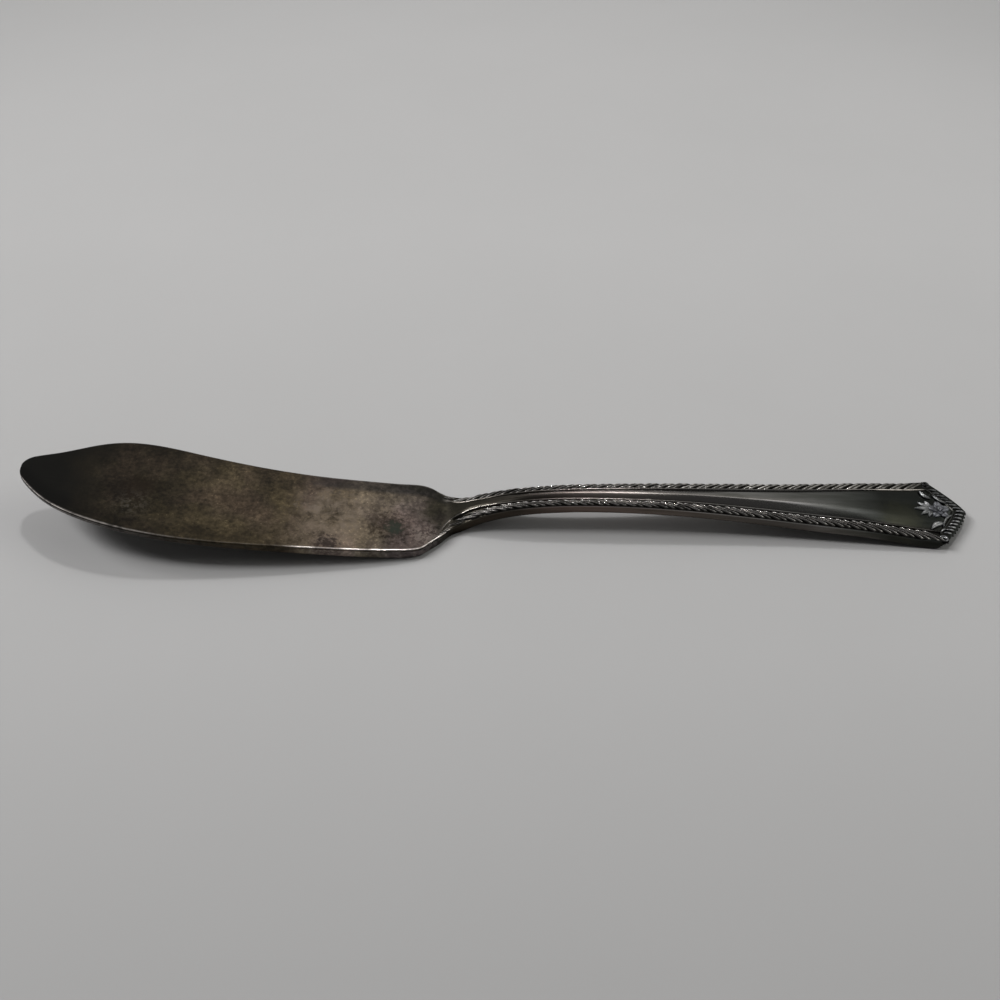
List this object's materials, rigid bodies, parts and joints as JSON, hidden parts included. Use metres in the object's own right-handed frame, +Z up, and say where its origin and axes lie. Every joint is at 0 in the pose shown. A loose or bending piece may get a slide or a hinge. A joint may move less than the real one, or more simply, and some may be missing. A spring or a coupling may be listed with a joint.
{
  "type": "butter knife",
  "caption": "Flat-handled master butter knife with a broad humped spatula blade, an arched handle with rope borders, and a gabled end with gadroons, a blossom and leaves.",
  "frame": {"origin": "on the table under the middle of the knife's bounding box", "axes": "+X from the blade's tip to the handle's end, +Y toward the humped back of the blade, +Z up from the table"},
  "size_m": [0.173, 0.0232, 0.0099],
  "materials": {
    "blade": "heavily tarnished silver plate, worn bright along the edge",
    "handle": "tarnished silver plate, smoother than the blade",
    "border": "tarnished silver plate, dark in the grooves",
    "ornament": "tarnished silver plate, worn on the raised parts"
  },
  "bodies": {
    "root": {"blade": "blade", "handle": "handle", "rope_border_far": "border", "rope_border_near": "border", "end_border": "border", "scroll_far": "border", "scroll_near": "border", "blossom": "ornament", "leaf_centre": "ornament", "leaf_far": "ornament", "leaf_near": "ornament"}
  },
  "joints": []
}
